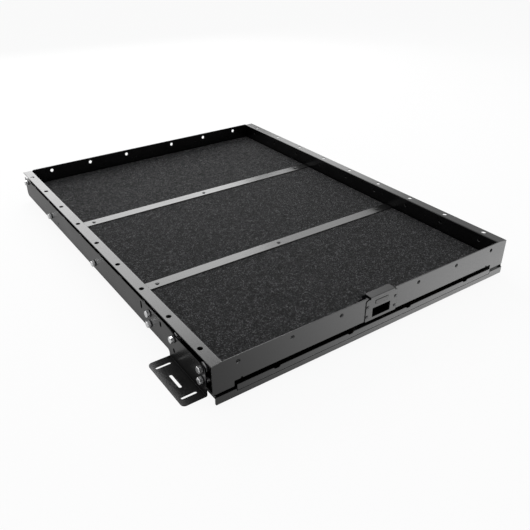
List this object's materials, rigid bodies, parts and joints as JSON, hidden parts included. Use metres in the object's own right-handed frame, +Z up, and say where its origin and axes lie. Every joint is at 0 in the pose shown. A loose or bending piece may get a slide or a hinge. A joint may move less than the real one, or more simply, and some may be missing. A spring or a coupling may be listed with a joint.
{
  "type": "pickup bed slide",
  "caption": "Sheet steel cargo tray with carpet mats and a press-flap latch, rolling out on bearing rollers from a low bolt-down base frame.",
  "frame": {"origin": "on the bed floor, at the middle of the base", "axes": "+Z up from the bed floor, +X to the right seen from the tailgate, the tray opens towards -Y"},
  "size_m": [1.226, 1.479, 0.128],
  "materials": {
    "black_frame": "satin powder coat",
    "black_tray": "satin powder coat",
    "black_latch": "satin black",
    "zinc": "bright zinc plate",
    "dark_screws": "black oxide",
    "steel": "ground steel",
    "carpet": "needle felt carpet",
    "board": "raw plywood",
    "rubber": "matt",
    "nylon": "matt"
  },
  "bodies": {
    "base": {"left_base_rail": "black_frame", "right_base_rail": "black_frame", "front_sill": "black_frame", "strike_strip": "black_frame", "front_cross_member": "black_frame", "middle_cross_member": "black_frame", "rear_cross_member": "black_frame", "frame_bolts": "zinc", "stop_lugs": "black_frame", "stop_buffers": "rubber", "roller_races": "steel", "hold_down_pads": "nylon", "hex_bolts": "zinc", "washers": "dark_screws", "hex_nuts": "zinc"},
    "tray": {"left_side_panel": "black_tray", "right_side_panel": "black_tray", "front_panel": "black_tray", "back_panel": "black_tray", "corner_gussets": "black_tray", "tray_rivets": "zinc", "front_board": "board", "middle_board": "board", "rear_board": "board", "front_mat": "carpet", "middle_mat": "carpet", "rear_mat": "carpet", "front_cross_strip": "black_tray", "rear_cross_strip": "black_tray", "under_beams": "black_tray", "strip_screws": "dark_screws", "tray_nuts": "zinc", "left_track_angle": "black_tray", "right_track_angle": "black_tray", "stop_bracket": "black_tray", "stop_bracket_bolts": "zinc", "latch_plate": "black_latch", "blank_plate": "nylon", "plate_screws": "dark_screws", "finger_cup": "black_latch", "latch_housing": "black_tray", "lever_pin": "steel", "bolt_guide": "steel", "lever_spring": "steel"},
    "latch_lever": {"latch_lever": "black_latch"},
    "latch_bolt": {"latch_bolt": "steel"},
    "left_roller_1": {"left_roller_1": "steel"},
    "left_roller_2": {"left_roller_2": "steel"},
    "left_roller_3": {"left_roller_3": "steel"},
    "left_roller_4": {"left_roller_4": "steel"},
    "left_roller_5": {"left_roller_5": "steel"},
    "left_roller_6": {"left_roller_6": "steel"},
    "left_roller_7": {"left_roller_7": "steel"},
    "right_roller_1": {"right_roller_1": "steel"},
    "right_roller_2": {"right_roller_2": "steel"},
    "right_roller_3": {"right_roller_3": "steel"},
    "right_roller_4": {"right_roller_4": "steel"},
    "right_roller_5": {"right_roller_5": "steel"},
    "right_roller_6": {"right_roller_6": "steel"},
    "right_roller_7": {"right_roller_7": "steel"}
  },
  "joints": [
    {"name": "tray_slide", "type": "slide", "parent": "base", "child": "tray", "axis": [0, -1, 0], "range_m": [0, 1.045]},
    {"name": "left_roller_1_turn", "type": "hinge", "parent": "base", "child": "left_roller_1", "pos_m": [-0.5347, -0.6775, 0.044], "axis": [1, 0, 0], "range_deg": [0, 3999.61]},
    {"name": "left_roller_2_turn", "type": "hinge", "parent": "base", "child": "left_roller_2", "pos_m": [-0.5347, -0.3905, 0.044], "axis": [1, 0, 0], "range_deg": [0, 3999.61]},
    {"name": "left_roller_3_turn", "type": "hinge", "parent": "base", "child": "left_roller_3", "pos_m": [-0.5347, 0.0175, 0.044], "axis": [1, 0, 0], "range_deg": [0, 3999.61]},
    {"name": "left_roller_4_turn", "type": "hinge", "parent": "base", "child": "left_roller_4", "pos_m": [-0.5347, 0.4435, 0.044], "axis": [1, 0, 0], "range_deg": [0, 3999.61]},
    {"name": "left_roller_5_turn", "type": "hinge", "parent": "base", "child": "left_roller_5", "pos_m": [-0.5347, -0.6775, 0.0785], "axis": [1, 0, 0], "range_deg": [-3999.61, 0]},
    {"name": "left_roller_6_turn", "type": "hinge", "parent": "base", "child": "left_roller_6", "pos_m": [-0.5347, -0.5325, 0.0785], "axis": [1, 0, 0], "range_deg": [-3999.61, 0]},
    {"name": "left_roller_7_turn", "type": "hinge", "parent": "base", "child": "left_roller_7", "pos_m": [-0.5347, -0.3905, 0.0785], "axis": [1, 0, 0], "range_deg": [-3999.61, 0]},
    {"name": "right_roller_1_turn", "type": "hinge", "parent": "base", "child": "right_roller_1", "pos_m": [0.5347, -0.6775, 0.044], "axis": [1, 0, 0], "range_deg": [0, 3999.61]},
    {"name": "right_roller_2_turn", "type": "hinge", "parent": "base", "child": "right_roller_2", "pos_m": [0.5347, -0.3905, 0.044], "axis": [1, 0, 0], "range_deg": [0, 3999.61]},
    {"name": "right_roller_3_turn", "type": "hinge", "parent": "base", "child": "right_roller_3", "pos_m": [0.5347, 0.0175, 0.044], "axis": [1, 0, 0], "range_deg": [0, 3999.61]},
    {"name": "right_roller_4_turn", "type": "hinge", "parent": "base", "child": "right_roller_4", "pos_m": [0.5347, 0.4435, 0.044], "axis": [1, 0, 0], "range_deg": [0, 3999.61]},
    {"name": "right_roller_5_turn", "type": "hinge", "parent": "base", "child": "right_roller_5", "pos_m": [0.5347, -0.6775, 0.0785], "axis": [1, 0, 0], "range_deg": [-3999.61, 0]},
    {"name": "right_roller_6_turn", "type": "hinge", "parent": "base", "child": "right_roller_6", "pos_m": [0.5347, -0.5325, 0.0785], "axis": [1, 0, 0], "range_deg": [-3999.61, 0]},
    {"name": "right_roller_7_turn", "type": "hinge", "parent": "base", "child": "right_roller_7", "pos_m": [0.5347, -0.3905, 0.0785], "axis": [1, 0, 0], "range_deg": [-3999.61, 0]},
    {"name": "latch_turn", "type": "hinge", "parent": "tray", "child": "latch_lever", "pos_m": [0, -0.7265, 0.118], "axis": [1, 0, 0], "range_deg": [0, 18], "stiffness_Nm_per_rad": 0.3, "springref_deg": -11.46},
    {"name": "latch_bolt_slide", "type": "slide", "parent": "tray", "child": "latch_bolt", "axis": [0, 0, 1], "range_m": [0, 0.0073]}
  ],
  "couplings": [
    {"joint": "left_roller_1_turn", "follows": "tray_slide", "rad_per_m": 66.667},
    {"joint": "left_roller_2_turn", "follows": "tray_slide", "rad_per_m": 66.667},
    {"joint": "left_roller_3_turn", "follows": "tray_slide", "rad_per_m": 66.667},
    {"joint": "left_roller_4_turn", "follows": "tray_slide", "rad_per_m": 66.667},
    {"joint": "left_roller_5_turn", "follows": "tray_slide", "rad_per_m": -66.667},
    {"joint": "left_roller_6_turn", "follows": "tray_slide", "rad_per_m": -66.667},
    {"joint": "left_roller_7_turn", "follows": "tray_slide", "rad_per_m": -66.667},
    {"joint": "right_roller_1_turn", "follows": "tray_slide", "rad_per_m": 66.667},
    {"joint": "right_roller_2_turn", "follows": "tray_slide", "rad_per_m": 66.667},
    {"joint": "right_roller_3_turn", "follows": "tray_slide", "rad_per_m": 66.667},
    {"joint": "right_roller_4_turn", "follows": "tray_slide", "rad_per_m": 66.667},
    {"joint": "right_roller_5_turn", "follows": "tray_slide", "rad_per_m": -66.667},
    {"joint": "right_roller_6_turn", "follows": "tray_slide", "rad_per_m": -66.667},
    {"joint": "right_roller_7_turn", "follows": "tray_slide", "rad_per_m": -66.667},
    {"joint": "latch_bolt_slide", "follows": "latch_turn", "m_per_rad": 0.022886}
  ]
}
